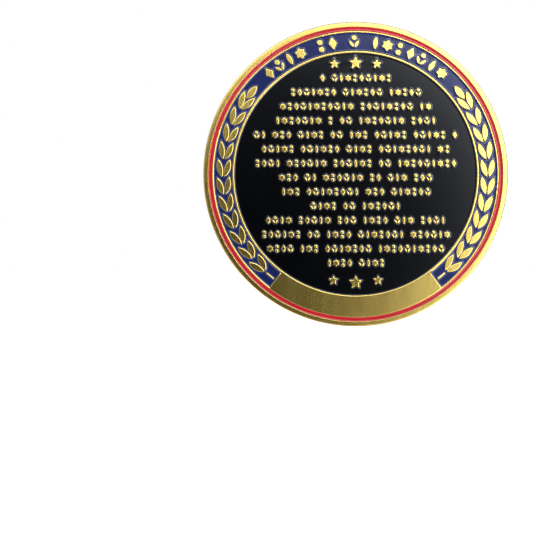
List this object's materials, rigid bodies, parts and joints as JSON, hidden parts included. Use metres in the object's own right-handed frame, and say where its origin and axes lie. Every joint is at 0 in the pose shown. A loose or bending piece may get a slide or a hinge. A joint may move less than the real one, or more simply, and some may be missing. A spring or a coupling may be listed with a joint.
{
  "type": "challenge coin",
  "caption": "Round struck metal coin, enamelled on both faces: laurels and ornament rows on one, two figures over a ribbon and a printed panel on the other.",
  "frame": {"origin": "centre of the coin", "axes": "the coin stands upright: +Y runs along its axis from the inscription face to the scene face, +Z is the top of both faces' artwork, +X is to the right when looking at the inscription face"},
  "size_m": [0.0444, 0.0032, 0.0444],
  "materials": {
    "gold": "satin gold plate, bright on raised edges",
    "red_enamel": "glossy hard enamel",
    "navy_enamel": "glossy hard enamel",
    "black_enamel": "glossy hard enamel",
    "white_enamel": "glossy hard enamel",
    "printed_panel": "printed film",
    "clear_epoxy": "clear domed epoxy"
  },
  "bodies": {
    "root": {"struck_body": "gold", "front_red_ring_enamel": "red_enamel", "back_red_ring_enamel": "red_enamel", "front_navy_band_enamel": "navy_enamel", "front_black_field_enamel": "black_enamel", "back_navy_upper_band_enamel": "navy_enamel", "back_black_sky_enamel": "black_enamel", "left_figure_enamel": "black_enamel", "right_figure_enamel": "black_enamel", "ribbon_navy_enamel": "navy_enamel", "ribbon_red_upper_enamel": "red_enamel", "ribbon_white_enamel": "white_enamel", "ribbon_red_lower_enamel": "red_enamel", "back_navy_lower_band_enamel": "navy_enamel", "printed_insert": "printed_panel", "clear_epoxy": "clear_epoxy"}
  },
  "joints": []
}
